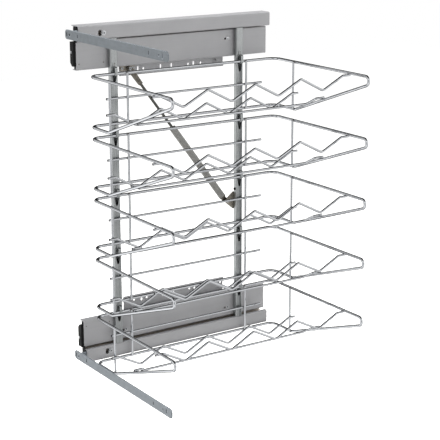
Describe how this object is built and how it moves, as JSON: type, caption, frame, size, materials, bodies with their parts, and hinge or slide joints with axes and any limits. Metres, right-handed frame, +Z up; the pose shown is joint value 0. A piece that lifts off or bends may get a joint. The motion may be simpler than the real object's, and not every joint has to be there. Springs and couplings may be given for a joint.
{
  "type": "pull-out wine rack",
  "caption": "Side-mounted pull-out cabinet rack with wire baskets that hold bottles lying down, hung between two ball slide units.",
  "frame": {"origin": "on the cabinet wall, midway between the two inner wall-screw holes of the lower strip", "axes": "+X out of the wall into the cabinet, -Y towards the cabinet's front, the way the rack pulls out, +Z up"},
  "size_m": [0.4715, 0.6002, 0.8566],
  "materials": {
    "satin_zinc_sheet": "satin",
    "zinc_plated_bar": "satin",
    "slide_steel": "smooth",
    "bright_screw_steel": "bright",
    "chrome_wire": "bright",
    "black_plastic": "matte",
    "black_rubber": "matte",
    "dark_strut_steel": "satin",
    "painted_cylinder": "satin"
  },
  "bodies": {
    "wall_side": {"upper_wall_strip": "satin_zinc_sheet", "lower_wall_strip": "satin_zinc_sheet", "upper_rail_panel": "satin_zinc_sheet", "lower_rail_panel": "satin_zinc_sheet", "upper_fixed_track": "slide_steel", "lower_fixed_track": "slide_steel", "track_rivets": "slide_steel", "panel_standoffs": "slide_steel", "panel_screws": "bright_screw_steel", "strut_wall_bracket": "satin_zinc_sheet", "wall_bracket_rivets": "slide_steel", "wall_pivot_pin": "bright_screw_steel"},
    "rack": {"upper_moving_slide": "slide_steel", "lower_moving_slide": "slide_steel", "upper_carrier_box": "satin_zinc_sheet", "lower_carrier_box": "satin_zinc_sheet", "upper_end_cap": "black_plastic", "lower_end_cap": "black_plastic", "upper_door_arm": "zinc_plated_bar", "lower_door_arm": "zinc_plated_bar", "slide_spacers": "slide_steel", "slide_rivets": "slide_steel", "end_cap_screws": "bright_screw_steel", "clamp_screws": "bright_screw_steel", "clamp_washers": "bright_screw_steel", "clamp_nuts": "bright_screw_steel", "front_post": "zinc_plated_bar", "rear_post": "zinc_plated_bar", "post_screws": "bright_screw_steel", "basket_hooks": "chrome_wire", "basket_1_frame": "chrome_wire", "basket_1_rails": "chrome_wire", "basket_1_zigzags": "chrome_wire", "basket_2_frame": "chrome_wire", "basket_2_rails": "chrome_wire", "basket_2_zigzags": "chrome_wire", "basket_3_frame": "chrome_wire", "basket_3_rails": "chrome_wire", "basket_3_zigzags": "chrome_wire", "basket_4_frame": "chrome_wire", "basket_4_rails": "chrome_wire", "basket_4_zigzags": "chrome_wire", "basket_5_frame": "chrome_wire", "basket_5_rails": "chrome_wire", "basket_5_zigzags": "chrome_wire", "strut_foot_bracket": "zinc_plated_bar", "foot_pivot_rivet": "bright_screw_steel", "foot_bracket_screws": "bright_screw_steel", "post_stop_button": "black_rubber"},
    "middle_slides": {"upper_middle_slide": "slide_steel", "lower_middle_slide": "slide_steel"},
    "outer_cages": {"outer_ball_cages": "slide_steel"},
    "inner_cages": {"inner_ball_cages": "slide_steel"},
    "strut_rod": {"strut_eye_fitting": "dark_strut_steel", "strut_piston_rod": "dark_strut_steel"},
    "strut_tube": {"strut_cylinder": "painted_cylinder", "strut_seal": "black_rubber", "strut_end_ring": "dark_strut_steel", "strut_foot_eye": "dark_strut_steel"}
  },
  "joints": [
    {"name": "rack_slide", "type": "slide", "parent": "wall_side", "child": "rack", "axis": [0, -1, 0], "range_m": [0, 0.5]},
    {"name": "middle_slide_run", "type": "slide", "parent": "wall_side", "child": "middle_slides", "axis": [0, -1, 0], "range_m": [0, 0.25]},
    {"name": "outer_cage_run", "type": "slide", "parent": "wall_side", "child": "outer_cages", "axis": [0, -1, 0], "range_m": [0, 0.125]},
    {"name": "inner_cage_run", "type": "slide", "parent": "wall_side", "child": "inner_cages", "axis": [0, -1, 0], "range_m": [0, 0.375]},
    {"name": "strut_swing", "type": "hinge", "parent": "wall_side", "child": "strut_rod", "pos_m": [0.01, -0.1114, 0.605], "axis": [1, 0, 0], "range_deg": [-66.94, 0]},
    {"name": "strut_run", "type": "slide", "parent": "strut_rod", "child": "strut_tube", "axis": [0, 0.6039, -0.797], "range_m": [-0.03858, 0]}
  ],
  "couplings": [
    {"joint": "middle_slide_run", "follows": "rack_slide", "ratio": 0.5},
    {"joint": "outer_cage_run", "follows": "rack_slide", "ratio": 0.25},
    {"joint": "inner_cage_run", "follows": "rack_slide", "ratio": 0.75},
    {"joint": "strut_swing", "follows": "rack_slide", "rad_per_m": -2.3361},
    {"joint": "strut_run", "follows": "rack_slide", "ratio": -0.07713}
  ]
}
